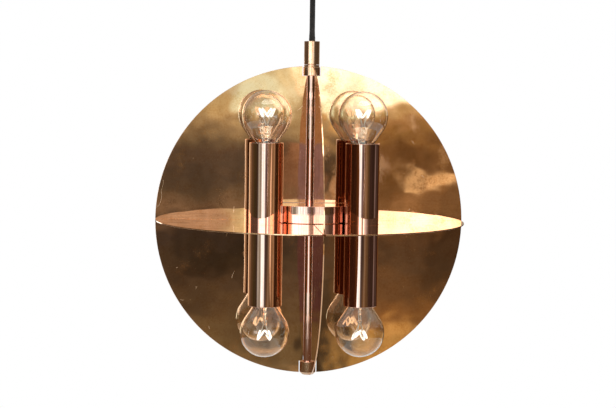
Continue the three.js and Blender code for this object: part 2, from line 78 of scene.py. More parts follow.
# Cord
# A round cable in a black braided cotton sleeve. It leaves the copper cap, where the sleeve is a
# little loose, and runs straight up into the swivel ball and on to its clamp and connector.
CORD_DIAMETER = 5 * MM
CORD_ROUND_STEPS = 96
CORD_STEP = 0.2 * MM
BRAID_STRANDS = 12  # strands that wind each way
BRAID_DEPTH = 0.16 * MM
SLEEVE_LOOSE_FROM = 0.2 * MM  # over the cap
SLEEVE_LOOSEST = 2 * MM  # over the cap
SLEEVE_LOOSE_LENGTH = 9 * MM
SLEEVE_LOOSENESS = 0.5 * MM
SLEEVE_WRINKLES = (900, 1300)  # radians per metre of cord, of two waves that cross
COTTON_BLACK = "#1F2120"
COTTON_WORN = "#3A3634"
SAME_POINT = 1e-7
YARN_WIDTH = 0.12 * MM
COTTON_WEAR_PATCH = 6 * MM


def linear(hex_colour):
    """An sRGB hex colour as linear red, green and blue, with full alpha."""
    s = np.array([int(hex_colour[i : i + 2], 16) for i in (1, 3, 5)]) / 255
    rgb = np.where(s <= 0.04045, s / 12.92, ((s + 0.055) / 1.055) ** 2.4)
    return (*(float(c) for c in rgb), 1.0)


def add_node(tree, kind, inputs=None, stops=None, **settings):
    """Adds a shader node with its settings. Each of inputs is a value, a socket to link, or a
    node whose first output is linked. stops are a colour ramp's (position, hex colour) pairs,
    from left to right."""
    node = tree.nodes.new("ShaderNode" + kind)
    for name, value in settings.items():
        setattr(node, name, value)
    if stops:
        ramp = node.color_ramp.elements
        ramp.remove(ramp[1])
        ramp[0].position = stops[0][0]
        for position, _ in stops[1:]:
            ramp.new(position)
        for element, (_, colour) in zip(ramp, stops):
            element.color = linear(colour)
    for key, value in (inputs or {}).items():
        if isinstance(value, bpy.types.Node):
            value = value.outputs[0]
        if isinstance(value, bpy.types.NodeSocket):
            tree.links.new(value, node.inputs[key])
        else:
            node.inputs[key].default_value = value
    return node


def new_material(name):
    """A material with nothing in its node tree but object coordinates; a function that adds
    nodes to that tree; and the coordinates."""
    material = bpy.data.materials.new(name)
    material.use_nodes = True
    material.node_tree.nodes.clear()
    add = partial(add_node, material.node_tree)
    return material, add, add("TexCoord").outputs["Object"]


def along(start, end, steps):
    """Values or points evenly from start up to, but without, end."""
    return np.linspace(start, end, steps, endpoint=False)


def round_axis(radius, turn, height, centre=(0, 0)):
    """Points at distances from an upright axis, at angles round it and at heights."""
    x, y = centre[0] + radius * np.cos(turn), centre[1] + radius * np.sin(turn)
    return np.stack([x, y, height + 0 * x], axis=-1)


def surface_mesh(name, points, round_first=False, round_second=False, keep=None):
    """A mesh of quads over a grid of points, in metres. An axis that is round joins its last
    line to its first, and keep says which quads stay. Points that coincide become one."""
    grid = np.arange(points.shape[0] * points.shape[1]).reshape(points.shape[:2])
    if round_first:
        grid = np.concatenate([grid, grid[:1]])
    if round_second:
        grid = np.concatenate([grid, grid[:, :1]], axis=1)
    quads = np.stack([grid[:-1, :-1], grid[1:, :-1], grid[1:, 1:], grid[:-1, 1:]], axis=-1)
    quads = quads[keep] if keep is not None else quads.reshape(-1, 4)
    mesh = bpy.data.meshes.new(name)
    mesh.from_pydata(points.reshape(-1, 3), [], quads)
    shell = bmesh.new()
    shell.from_mesh(mesh)
    bmesh.ops.remove_doubles(shell, verts=shell.verts, dist=SAME_POINT)
    bmesh.ops.delete(shell, geom=[v for v in shell.verts if not v.link_faces], context="VERTS")
    bmesh.ops.recalc_face_normals(shell, faces=shell.faces)
    shell.to_mesh(mesh)
    shell.free()
    mesh.shade_smooth()
    return mesh


def add_piece(mesh, material, body, slot, *nodes):
    """Puts a mesh in the scene, riding on a body, in place of the CAD nodes named."""
    piece = add_object(mesh.name, mesh)
    mesh.materials.append(material)
    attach(piece, body)
    if nodes:
        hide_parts(*nodes)
    return piece


def black_cotton():
    """Braided cotton: dull black, greyer in fine flecks that gather in soft patches, finely hairy.
    """
    material, add, place = new_material("braided_black_cotton")
    yarn = add("TexNoise", {"Vector": place, "Scale": 1 / YARN_WIDTH, "Detail": 3.0})
    wear = add("TexNoise", {"Vector": place, "Scale": 1 / COTTON_WEAR_PATCH, "Detail": 2.0})
    mixed = add("Math", {0: yarn, 1: wear}, operation="MULTIPLY")
    colour = add("ValToRGB", {"Fac": mixed}, stops=[(0.12, COTTON_BLACK), (0.42, COTTON_WORN)])
    bump = add("Bump", {"Height": yarn, "Strength": 0.6, "Distance": 0.05 * MM})
    cloth = {"Base Color": colour, "Roughness": 0.95, "Specular IOR Level": 0.2}
    cloth |= {"Sheen Weight": 0.25, "Sheen Roughness": 0.5, "Normal": bump}
    add("OutputMaterial", {"Surface": add("BsdfPrincipled", cloth)})
    return material


def cord_surface(bottom, top, cap_top):
    """A round tube up the cord. Strands wind both ways; where two cross, every other crossing
    has the other one on top, and a strand is highest in its middle. Just above the cap the
    sleeve stands off the cable and wrinkles."""
    heights = np.linspace(bottom, top, round((top - bottom) / CORD_STEP))[:, None]
    turn = along(0, math.tau, CORD_ROUND_STEPS)[None, :]
    strand, advance = BRAID_STRANDS * turn / math.tau, math.pi * CORD_DIAMETER / BRAID_STRANDS
    one, other = strand + heights / advance, strand - heights / advance
    on_top = (np.floor(one) + np.floor(other)) % 2 == 0
    over, under = np.where(on_top, one, other), np.where(on_top, other, one)
    crown = np.sqrt(np.abs(np.sin(math.pi * over)))
    crown = crown * (0.6 + 0.4 * np.abs(np.sin(math.pi * under)))
    from_loosest = np.abs(heights - cap_top - SLEEVE_LOOSEST)
    loose = np.clip(1 - from_loosest / SLEEVE_LOOSE_LENGTH, 0, 1) ** 2
    loose = np.where(heights < cap_top + SLEEVE_LOOSE_FROM, 0, loose)
    first, second = SLEEVE_WRINKLES
    wrinkle = 0.75 + 0.25 * np.cos(3 * turn + first * heights) * np.cos(second * heights)
    radius = CORD_DIAMETER / 2 - BRAID_DEPTH * (1 - crown) + SLEEVE_LOOSENESS * loose * wrinkle
    radius[[0, -1]] = 0
    return round_axis(radius, turn, heights)


cord_bottom, cord_top = (corner.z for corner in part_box("cord"))
cap_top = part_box("cord_cap")[1].z
cord_points = cord_surface(cord_bottom, cord_top, cap_top)
cord_mesh = surface_mesh("cord_sleeve", cord_points, round_second=True)
cord = add_piece(cord_mesh, black_cotton(), "hanger", "black_textile", "cord")

# Ceiling fitting
# A deep spun copper canopy over a zinc plated steel pan, held by a brass screw. A turned brass
# ball sits in the canopy's floor; the cord goes through it to a nylon clamp and a connector.
ROUND_STEPS = 128
CORNER_STEPS = 4
CURVE_POINTS, BALL_POINTS, SMALL_ARC_POINTS = 40, 60, 12
EDGE_ROUND = 0.25 * MM
SHARP_FROM = math.radians(40)
BESIDE_EDGE = 0.2 * MM  # a point there keeps the shading beside an edge flat
CANOPY_WALL = 1.2 * MM
CANOPY_STRAIGHT = 14 * MM
CANOPY_FLOOR_RADIUS = 17 * MM
BALL_HOLE_RADIUS = 8.2 * MM
BALL_FLAT = 0.5 * MM
CORD_HOLE_RADIUS = 2.8 * MM
COPPER = "#E9BEB1"
LACQUERED_COPPER = "#EFC19B"
AGED_COPPER = "#DEBEA2"
COPPER_BARE = "#F6D8BE"
COPPER_TARNISH = "#CF8A58"
COPPER_LACQUER = "#DCA768"
TARNISH_PATCH = 14 * MM
TARNISH_SPECKLE = 1.6 * MM
POLISH_WAVE = 45 * MM
HAZE = 3.0  # times rougher where the polish has gone milky
METAL_CLOUD = 5 * MM
BODY_CLOUD = 9 * MM
TOOLING_STRETCH = 10  # times longer across than up, as a tool's marks are
SCRATCH_BEND = 30 * MM
SCRATCH_LENGTH = 16 * MM
SCRATCH_WIDTH = 0.12 * MM


def rounded(profile, radius):
    """A closed profile of (radius, height) points with its corners rounded. Each corner gives
    way to a curve between points a radius before and after it, and one point beside each."""
    points = np.array(profile, float)
    back, ahead = (np.roll(points, way, axis=0) - points for way in (1, -1))
    lengths = [np.linalg.norm(side, axis=1, keepdims=True) for side in (back, ahead)]
    back, ahead = back / lengths[0], ahead / lengths[1]
    reach = np.minimum(radius, 0.4 * np.minimum(*lengths))
    start, end = points + back * reach, points + ahead * reach
    t = np.linspace(0, 1, CORNER_STEPS + 1)[:, None, None]
    curve = (1 - t) ** 2 * start + 2 * t * (1 - t) * points + t**2 * end
    before, after = start + back * reach * 0.1, end + ahead * reach * 0.1
    return np.concatenate([before[None], curve, after[None]]).transpose(1, 0, 2).reshape(-1, 2)


def arc(start, end, steps, middle, wide, tall):
    """Points round an ellipse in a plane, between two angles from its first axis."""
    angles = np.linspace(start, end, steps)
    first, second = middle[0] + wide * np.cos(angles), middle[1] + tall * np.sin(angles)
    return np.stack([first, second], axis=-1)


def turned_mesh(name, profile, centre=(0, 0), steps=ROUND_STEPS):
    """A closed profile of (radius, height) points carried round an upright axis at centre."""
    radius, height = np.asarray(profile, float).T[:, None, :]
    points = round_axis(radius, along(0, math.tau, steps)[:, None], height, centre)
    mesh = surface_mesh(name, points, round_first=True, round_second=True)
    mesh.set_sharp_from_angle(angle=SHARP_FROM)
    return mesh


def copper(name, metal, roughness, tarnish, wave, scratches):
    """Polished copper: warm pink metal that mirrors what is round it. Tarnish browns it in soft
    patches with fine speckles, hand polishing leaves it slowly wavy and hazy in places, and
    handling leaves a few thin curved scratches that catch light."""
    material, add, place = new_material(name)
    noise = {}
    for field, size, detail, grain in [
        ("speckle", TARNISH_SPECKLE, 3.0, 0.7),
        ("patches", TARNISH_PATCH, 6.0, 0.62),
        ("browns", 3 * TARNISH_PATCH, 4.0, 0.5),
        ("haze", 2 * TARNISH_PATCH, 4.0, 0.6),
        ("bend", SCRATCH_BEND, 1.0, 0.35),
        ("scratched", SCRATCH_LENGTH, 3.0, 0.5),
        ("wave", POLISH_WAVE, 2.0, 0.45),
    ]:
        inputs = {"Vector": place, "Scale": 1 / size, "Detail": detail, "Roughness": grain}
        noise[field] = add("TexNoise", inputs)
    tarnished = {0: noise["patches"], 1: noise["speckle"], 2: -0.25}
    tarnished = add("Math", tarnished, operation="MULTIPLY_ADD")
    off_line = add("Math", {0: noise["bend"], 1: 0.5}, operation="SUBTRACT")
    off_line = add("Math", {0: off_line}, operation="ABSOLUTE")
    line_width = SCRATCH_WIDTH / SCRATCH_BEND
    share = {}
    for field, value, start, end, low, high in [
        ("brown", tarnished, -0.1, 0.2, 0.0, tarnish),
        ("line", off_line, 0.4 * line_width, line_width, 1.0, 0.0),
        ("scratched", noise["scratched"], 0.6, 0.66, 0.0, scratches),
        ("haze", noise["haze"], 0.5, 0.72, 0.8, HAZE),
        ("gloss", noise["speckle"], 0.3, 0.8, 0.8 * roughness, 1.5 * roughness),
    ]:
        limits = {"Value": value, "From Min": start, "From Max": end}
        limits |= {"To Min": low, "To Max": high}
        share[field] = add("MapRange", limits, interpolation_type="SMOOTHSTEP")
    scratch = add("Math", {0: share["line"], 1: share["scratched"]}, operation="MULTIPLY")
    haze = add("Math", {0: share["haze"], 1: share["gloss"]}, operation="MULTIPLY")
    dull = add("Math", {0: scratch, 1: 0.4, 2: haze}, operation="MULTIPLY_ADD")
    brown = {"Factor": noise["browns"], 6: linear(COPPER_TARNISH), 7: linear(COPPER_LACQUER)}
    brown = add("Mix", brown, data_type="RGBA").outputs[2]
    aged = {"Factor": share["brown"], 6: linear(metal), 7: brown}
    aged = add("Mix", aged, data_type="RGBA").outputs[2]
    colour = {"Factor": scratch, 6: aged, 7: linear(COPPER_BARE)}
    colour = add("Mix", colour, data_type="RGBA").outputs[2]
    wavy = add("Bump", {"Height": noise["wave"], "Strength": 1.0, "Distance": wave})
    surface = {"Base Color": colour, "Metallic": 1.0, "Roughness": dull, "Normal": wavy}
    add("OutputMaterial", {"Surface": add("BsdfPrincipled", surface)})
    return material


def plain_metal(name, colour, worn_colour, roughness, grain):
    """A turned or plated metal: a slightly uneven colour, its gloss softened by tool marks."""
    material, add, place = new_material(name)
    cloud = add("TexNoise", {"Vector": place, "Scale": 1 / METAL_CLOUD, "Detail": 4.0})
    tint = add("ValToRGB", {"Fac": cloud}, stops=[(0.35, worn_colour), (0.6, colour)])
    stretched = (1 / TOOLING_STRETCH, 1 / TOOLING_STRETCH, 1)
    marks = add("Mapping", {"Vector": place, "Scale": stretched})
    marks = add("TexNoise", {"Vector": marks, "Scale": 1 / grain, "Detail": 2.0})
    bump = add("Bump", {"Height": marks, "Strength": 0.5, "Distance": 0.02 * MM})
    metal = {"Base Color": tint, "Metallic": 1.0, "Roughness": roughness, "Normal": bump}
    add("OutputMaterial", {"Surface": add("BsdfPrincipled", metal)})
    return material


def moulded(name, colour, shade, roughness, grain):
    """A moulded or fired body: one colour that drifts a little, with a fine pitted skin."""
    material, add, place = new_material(name)
    cloud = add("TexNoise", {"Vector": place, "Scale": 1 / BODY_CLOUD, "Detail": 3.0})
    tint = add("ValToRGB", {"Fac": cloud}, stops=[(0.3, shade), (0.65, colour)])
    skin = add("TexNoise", {"Vector": place, "Scale": 1 / grain, "Detail": 2.0})
    bump = add("Bump", {"Height": skin, "Strength": 0.4, "Distance": 0.03 * MM})
    body = {"Base Color": tint, "Roughness": roughness, "Normal": bump}
    add("OutputMaterial", {"Surface": add("BsdfPrincipled", body)})
    return material


def dress(material, *nodes):
    """Gives CAD nodes that keep their own shape a better material."""
    for node in nodes:
        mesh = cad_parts[node].data
        mesh.materials.clear()
        mesh.materials.append(material)


def canopy_profile():
    """Down the outside and up the inside: a straight wall, then a quarter of an ellipse in to
    a flat floor with the ball's hole; the inside keeps the wall's thickness."""
    low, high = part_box("canopy_cup")
    top, curve_top = high.z, -CANOPY_STRAIGHT

    def side(inset):
        wide, bottom = high.x - inset, low.z + inset
        straight = [(wide, top), (wide, top - BESIDE_EDGE), (wide, curve_top + MM)]
        middle, reach = (CANOPY_FLOOR_RADIUS, curve_top), wide - CANOPY_FLOOR_RADIUS
        curve = arc(0, math.pi / 2, CURVE_POINTS, middle, reach, bottom - curve_top)
        hole = [(BALL_HOLE_RADIUS + BESIDE_EDGE, bottom), (BALL_HOLE_RADIUS, bottom)]
        return np.concatenate([straight, curve, hole])

    return np.concatenate([side(0), side(CANOPY_WALL)[::-1]])


def ball_profile():
    """The bore, a flat ring at each end and the ball's round side between them."""
    low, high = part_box("swivel_ball")
    radius, middle = high.x, (low.z + high.z) / 2
    flat = math.asin((radius - BALL_FLAT) / radius)
    side = arc(-flat, flat, BALL_POINTS, (0, middle), radius, radius)
    return np.concatenate([[(CORD_HOLE_RADIUS, low.z)], side, [(CORD_HOLE_RADIUS, high.z)]])


zinc = plain_metal("zinc_plated_steel", "#C9CBCD", "#A9ABAE", 0.38, 1.2 * MM)
brass = plain_metal("turned_brass", "#E3C27A", "#C9A258", 0.22, 0.5 * MM)
nylon = moulded("moulded_nylon", "#E4DFD2", "#D3CCBB", 0.45, 0.5 * MM)
spun_copper = copper(
    "spun_copper", COPPER, roughness=0.08, tarnish=0.5, wave=0.05 * MM, scratches=0.3
)
canopy_mesh = turned_mesh("canopy", canopy_profile())
add_piece(canopy_mesh, spun_copper, "ceiling", "copper_canopy", "canopy_cup")
ball_mesh = turned_mesh("swivel_ball_turned", ball_profile())
add_piece(ball_mesh, brass, "hanger", "brass_fitting", "swivel_ball")
dress(zinc, "ceiling_plate")
dress(brass, "canopy_screw")
dress(nylon, "cord_clamp", "connector_block")

# Stem, collar, cord cap and finial
# A thin copper tube runs down the middle of the lamp. A turned collar at its top meets the
# sheets and carries the cap over the cord; a turned finial with a bevelled foot closes its end.
STEM_WALL = 1 * MM
COLLAR_STEP_HEIGHT = 7.7 * MM
CAP_WALL = 2 * MM
CAP_LID = 3.8 * MM
FINIAL_BEVEL = 2.2 * MM
FINIAL_FLOOR = 3.5 * MM
SEAT_GAP = 0.3 * MM  # between pieces that sit together


def pipe(inner, outer, low, high):
    """The profile of a pipe's wall."""
    return [(inner, low), (inner, high), (outer, high), (outer, low)]


turned_copper = copper(
    "turned_polished_copper", AGED_COPPER, roughness=0.09, tarnish=0.5, wave=0.01 * MM, scratches=0
)
tube_name = "drawn_polished_copper_tube"
tube_copper = copper(
    tube_name, COPPER, roughness=0.03, tarnish=0.3, wave=0.03 * MM, scratches=0.2
)
stem_low, stem_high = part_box("stem_tube")
stem_radius = stem_high.x
bore = stem_radius + SEAT_GAP
stem = pipe(stem_radius - STEM_WALL, stem_radius, stem_low.z, stem_high.z)
collar_low, collar_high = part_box("stem_collar")
cap_low, cap_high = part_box("cord_cap")
neck_radius, collar_radius = cap_high.x, collar_high.x
step = collar_low.z + COLLAR_STEP_HEIGHT
collar = [(bore, collar_low.z), (bore, collar_high.z), (neck_radius, collar_high.z)]
collar += [(neck_radius, step), (collar_radius, step), (collar_radius, collar_low.z)]
seat, lid, cap_bore = stem_high.z + SEAT_GAP, cap_high.z - CAP_LID, neck_radius - CAP_WALL
cap = [(bore, cap_low.z), (bore, seat), (cap_bore, seat), (cap_bore, lid)]
cap += [(CORD_HOLE_RADIUS, lid), (CORD_HOLE_RADIUS, cap_high.z)]
cap += [(neck_radius, cap_high.z), (neck_radius, cap_low.z)]
finial_low, finial_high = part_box("finial")
finial_radius, floor = finial_high.x, finial_low.z + FINIAL_FLOOR
finial = [(0, finial_low.z), (0, floor), (bore, floor), (bore, finial_high.z)]
finial += [(finial_radius, finial_high.z), (finial_radius, finial_low.z + FINIAL_BEVEL)]
finial += [(finial_radius - FINIAL_BEVEL, finial_low.z)]
for name, profile, node, material, slot in [
    ("stem", stem, "stem_tube", tube_copper, "copper_tube"),
    ("collar", collar, "stem_collar", turned_copper, "copper_turned"),
    ("cap", cap, "cord_cap", turned_copper, "copper_turned"),
    ("finial_turned", finial, "finial", turned_copper, "copper_turned"),
]:
    add_piece(turned_mesh(name, rounded(profile, EDGE_ROUND)), material, "pendant", slot, node)
sheath = moulded("silicone_sheath", "#E2DCCD", "#CFC7B4", 0.6, 0.8 * MM)
dress(sheath, "stem_flex", "wiring_harness")

# Round sheets
# Sheet copper 1 mm thick, sheared to rounds, polished and lacquered. One lies level and is
# slotted from the rim; four upright halves slide into its slots and meet along the stem.
SHEET_THICKNESS = 1 * MM
SHEET_EDGE = 0.16 * MM
SHEET_CELL = 3.5 * MM
SLOT_HALF_WIDTH = 0.8 * MM
SLOT_MOUTH_HALF_WIDTH = 2 * MM
SLOT_MOUTH_DEPTH = 3 * MM
TUBE_HOLE_CLEARANCE = 0.3 * MM
NOTCH_CLEARANCE = 0.8 * MM  # round the collar and the finial
# Cells from the stem out to the rim of a half sheet, and points round the level sheet's cuts
NOTCH_COLUMNS, HUB_COLUMNS, RIM_COLUMNS = 2, 12, 28
SLOT_POINTS, STEM_POINTS, RIM_POINTS, RAY_POINTS = (3, 28, 1, 14), 9, 65, 26
ROUNDING = 1e-9
sheet_radius = level_high.x
middle_z = lamp_middle.z
hub_low, hub_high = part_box("hub_drum")
hub_radius = hub_high.x


def half_width(node):
    """The radius of a round node."""
    low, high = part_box(node)
    return (high.x - low.x) / 2


def axis_of(node):
    """Where the upright axis of a round node stands."""
    low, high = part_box(node)
    return np.array([low.x + high.x, low.y + high.y]) / 2


def half_sheet(name, quarter):
    """An upright half round. Rows lie at even angles up the rim; each row has columns from the
    stem to a notch's side, from there to the hub's side and on to the rim. The cells in the
    hub's notch, and in the collar's and finial's, are left out."""
    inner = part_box("sheet_right")[0].x
    notch_low, notch_high = level_low.z - SEAT_GAP - middle_z, hub_high.z + SEAT_GAP - middle_z
    top, bottom = collar_low.z - SEAT_GAP - middle_z, finial_high.z + SEAT_GAP - middle_z
    collar_notch, finial_notch = collar_radius + NOTCH_CLEARANCE, finial_radius + NOTCH_CLEARANCE
    ends = [-math.acos(finial_notch / sheet_radius)]
    ends += [math.asin(height / sheet_radius) for height in (bottom, notch_low, notch_high, top)]
    ends += [math.acos(collar_notch / sheet_radius)]
    stretches = [
        along(low, high, max(3, round((high - low) * sheet_radius / SHEET_CELL)))
        for low, high in zip(ends, ends[1:])
    ]
    angles = np.concatenate([*stretches, ends[-1:]])
    height, outer = sheet_radius * np.sin(angles), sheet_radius * np.cos(angles)
    notch = np.where(height < 0, finial_notch, collar_notch)
    hub_side = hub_radius + SEAT_GAP
    far = math.sqrt(sheet_radius**2 - notch_high**2)
    share = (hub_side - collar_notch) / (far - collar_notch)
    at_hub = (height > notch_low - ROUNDING) & (height < notch_high + ROUNDING)
    hub_column = np.where(at_hub, hub_side, notch + share * (outer - notch))
    columns = []
    for start, end, steps in [
        (inner + 0 * outer, notch, NOTCH_COLUMNS),
        (notch, hub_column, HUB_COLUMNS),
        (hub_column, outer, RIM_COLUMNS),
    ]:
        columns.append(start[:, None] + along(0, 1, steps) * (end - start)[:, None])
    x = np.concatenate([*columns, outer[:, None]], axis=1)
    cells = np.arange(x.shape[1] - 1)
    row_middle = (height[:-1] + height[1:])[:, None] / 2
    in_hub = (row_middle > notch_low) & (row_middle < notch_high)
    in_hub = in_hub & (cells < NOTCH_COLUMNS + HUB_COLUMNS)
    in_ends = ((row_middle > top) | (row_middle < bottom)) & (cells < NOTCH_COLUMNS)
    turn = quarter * math.pi / 2
    z = middle_z + height[:, None] + 0 * x
    points = np.stack([x * math.cos(turn), x * math.sin(turn), z], axis=-1)
    return surface_mesh(name, points, keep=~(in_hub | in_ends))


def level_sheet(name):
    """The level round. In each quarter, lines run from the tube's hole straight out to the edge
    of the quarter, and the four quarters share their points where no slot parts them."""
    tube_centre = axis_of("tube_rear_right")
    hole = half_width("tube_rear_right") + TUBE_HOLE_CLEARANCE
    mouth_x = math.sqrt(sheet_radius**2 - SLOT_MOUTH_HALF_WIDTH**2)
    mouth_angle = math.asin(SLOT_MOUTH_HALF_WIDTH / sheet_radius)
    mouth_end = (sheet_radius - SLOT_MOUTH_DEPTH, SLOT_HALF_WIDTH)
    slot_end = [(hub_radius, SLOT_HALF_WIDTH), (hub_radius, 0)]
    corners = np.array([(mouth_x, SLOT_MOUTH_HALF_WIDTH), mouth_end, *slot_end, (bore, 0)])
    side = np.concatenate([along(*part) for part in zip(corners, corners[1:], SLOT_POINTS)])
    stem_edge = arc(0, math.pi / 2, STEM_POINTS, (0, 0), bore, bore)
    rim_ends = math.pi / 2 - mouth_angle, mouth_angle
    rim_edge = arc(*rim_ends, RIM_POINTS, (0, 0), sheet_radius, sheet_radius)[:-1]
    edge = np.concatenate([side, stem_edge, side[::-1, ::-1][:-1], rim_edge])
    rays = edge - tube_centre
    length = np.linalg.norm(rays, axis=1, keepdims=True)
    share = np.linspace(0, 1, RAY_POINTS)[None, :] ** 1.1
    reach = hole / length + share * (1 - hole / length)
    flat = tube_centre + rays[:, None, :] * reach[..., None]
    grids = []
    for quarter in range(4):
        turn = quarter * math.pi / 2
        x = flat[..., 0] * math.cos(turn) - flat[..., 1] * math.sin(turn)
        y = flat[..., 0] * math.sin(turn) + flat[..., 1] * math.cos(turn)
        points = np.stack([x, y, middle_z + 0 * x], axis=-1)
        grids.append(np.concatenate([points, points[:1]]))
    keep = np.ones((4 * len(grids[0]) - 1, flat.shape[1] - 1), bool)
    keep[len(grids[0]) - 1 :: len(grids[0])] = False
    return surface_mesh(name, np.concatenate(grids), keep=keep)


def give_thickness(piece):
    """Makes sheared sheet of a surface: a millimetre thick, its edges just broken."""
    wall = piece.modifiers.new("thickness", "SOLIDIFY")
    wall.thickness, wall.offset, wall.use_even_offset = SHEET_THICKNESS, 0, True
    edge = piece.modifiers.new("edges", "BEVEL")
    edge.width, edge.segments, edge.limit_method = SHEET_EDGE, 2, "ANGLE"
    edge.angle_limit, edge.harden_normals, edge.use_clamp_overlap = math.radians(60), True, False


sheet_name = "polished_lacquered_copper_sheet"
sheet_copper = copper(
    sheet_name, LACQUERED_COPPER, roughness=0.03, tarnish=0.6, wave=0.2 * MM, scratches=0.7
)
sheets = {
    side: half_sheet(f"half_round_{side}", quarter)
    for quarter, side in enumerate(("right", "rear", "left", "front"))
}
sheets["level"] = level_sheet("level_round")
for side, mesh in sheets.items():
    give_thickness(add_piece(mesh, sheet_copper, "pendant", "copper_sheet", f"sheet_{side}"))

# Hub
# A shallow spun drum between the four tubes, open below, that hides the joints of the wires.
# Inside lie a porcelain ring, the wires, and a brass nipple to each tube.
HUB_WALL = 1.2 * MM
HUB_STEPS = 192

hub_lid = hub_high.z - HUB_WALL
hub = [(bore, hub_lid), (bore, hub_high.z), (hub_radius, hub_high.z), (hub_radius, hub_low.z)]
hub += [(hub_radius - HUB_WALL, hub_low.z), (hub_radius - HUB_WALL, hub_lid)]
hub_mesh = turned_mesh("hub", rounded(hub, EDGE_ROUND), steps=HUB_STEPS)
add_piece(hub_mesh, tube_copper, "pendant", "copper_tube", "hub_drum")
dress(moulded("unglazed_porcelain", "#ECE6DA", "#DDD5C6", 0.55, 0.4 * MM), "junction_ring")

# Tubes, lampholders and bulbs
# Drawn copper tubes stand in the level sheet's holes. Each end holds a dark phenolic
# lampholder, and in it the threaded cap of a clear bulb whose ball stands out of the tube.
CORNERS = ("rear_right", "rear_left", "front_left", "front_right")
TUBE_WALL = 1 * MM
HOLDER_BODY_RADIUS = 11.5 * MM
HOLDER_FLANGE = 6 * MM
HOLDER_FLOOR = 5 * MM
HOLDER_ROUND = 0.5 * MM
SHELL_WALL = 0.5 * MM
THREAD_PITCH = 2.82 * MM
THREAD_DEPTH = 0.6 * MM
THREAD_LENGTH = 14 * MM
THREAD_FADE = 1.5 * MM
THREAD_ROWS = 110
THREAD_SHARP_FROM = math.radians(50)
CONTACT_RADIUS = 2.5 * MM
CONTACT_HEIGHT = 1.2 * MM
INSULATION_RIM = 0.6 * MM
INSULATION_ROUND = 0.4 * MM
TAPER_HEIGHT = 2.8 * MM
GLASS_WALL = 0.4 * MM
GLASS_CONE = math.radians(34)
GLASS_WAVE = 11 * MM
SEAL_RIM_HEIGHT = 1 * MM
SEAL_SKIRT = (2.6 * MM, 3 * MM)  # radius, and height over the rim's foot
SEAL_ROUND = 0.5 * MM
# Radius, and height over the brass shell, in millimetres
SEAL_TOP = [(2.3, 9), (1.9, 11), (0, 11)]
STALK_FOOT = [(0, 11.1), (1.9, 11.1), (1.7, 12.5), (1.4, 14.5), (1.8, 16)]
STALK_RADIUS = 1.35 * MM
STALK_STRAIGHT_FROM = 18 * MM  # over the brass shell
STALK_HEIGHT = 26 * MM
STALK_ROUND = 1 * MM
BUTTON_RADIUS = 2 * MM
BUTTON_FROM = -0.9  # radians up from level, where the button comes out of the stalk
CROWN_RADIUS = 7.6 * MM
CROWN_SUPPORTS = 4
SUPPORT_FOOT_RADIUS = 0.8 * MM
BULB_SPINS = {  # radians to which each bulb, top and bottom, was screwed home
    "rear_right": (0.9, 2.4),
    "rear_left": (1.7, 0.2),
    "front_left": (0.22, 3.0),
    "front_right": (-0.3, 1.2),
}
CROWN_GAP = 0.4  # radians on each side of the filament's two ends
CROWN_DIP, CROWN_PULL = 0.45, 0.5  # of the way down, and of the way in, to the button
WIRE_RADIUS = 0.28 * MM
COIL_RADIUS = 0.75 * MM
COIL_PITCH = 0.55 * MM
COIL_WIRE_RADIUS = 0.16 * MM
CROWN_POINTS, SUPPORT_POINTS = 700, 24
COIL_POINTS = 8  # in a turn
ASKEW = (0.31, 0.95, 0.05)  # a direction that no wire runs in
# The coil's faint emission is a painted glow that makes it read bright white; no light is set
# inside the bulbs.
PAINTED_GLOW = "#FFF6EA"
PAINTED_GLOW_STRENGTH = 1.0
FINE_STEPS, SMALL_STEPS, TINY_STEPS = 96, 64, 48  # round the turned pieces


def clear_glass():
    """Blown soda glass: clear, hardly tinted, its surface very slightly uneven."""
    material, add, place = new_material("clear_blown_glass")
    slow = add("TexNoise", {"Vector": place, "Scale": 1 / GLASS_WAVE, "Detail": 1.0})
    bump = add("Bump", {"Height": slow, "Strength": 1.0, "Distance": 0.02 * MM})
    glass = {"Base Color": linear("#FEFFFE"), "Roughness": 0.0, "IOR": 1.5}
    glass |= {"Transmission Weight": 1.0, "Normal": bump}
    add("OutputMaterial", {"Surface": add("BsdfPrincipled", glass)})
    return material


def round_path(path, radius, turn, beside):
    """Points round a path, square to it. turn has a row of angles for each point of the path,
    or one row for all; angles start from the direction square to both the path and beside."""
    forward = np.gradient(path, axis=0)
    forward /= np.linalg.norm(forward, axis=1, keepdims=True)
    across = np.cross(forward, beside)
    across /= np.linalg.norm(across, axis=1, keepdims=True)
    across, upward = across[:, None], np.cross(across, forward)[:, None]
    spokes = across * np.cos(turn)[..., None] + upward * np.sin(turn)[..., None]
    return path[:, None] + radius * spokes


def wire_points(path, radius, sides):
    """Rings of points round a path, with the path's ends closed."""
    rings = round_path(path, radius, along(0, math.tau, sides)[None, :], ASKEW)
    start, end = (np.repeat(path[end][None, None], sides, axis=1) for end in (0, -1))
    return np.concatenate([start, rings, end])


def wires_mesh(name, paths, radius, sides):
    """Several wires as one mesh. The quads that would join one wire to the next are left out."""
    rings = [wire_points(path, radius, sides) for path in paths]
    keep = np.ones((sum(map(len, rings)) - 1, sides), bool)
    keep[np.cumsum([len(ring) for ring in rings])[:-1] - 1] = False
    return surface_mesh(name, np.concatenate(rings), round_second=True, keep=keep)


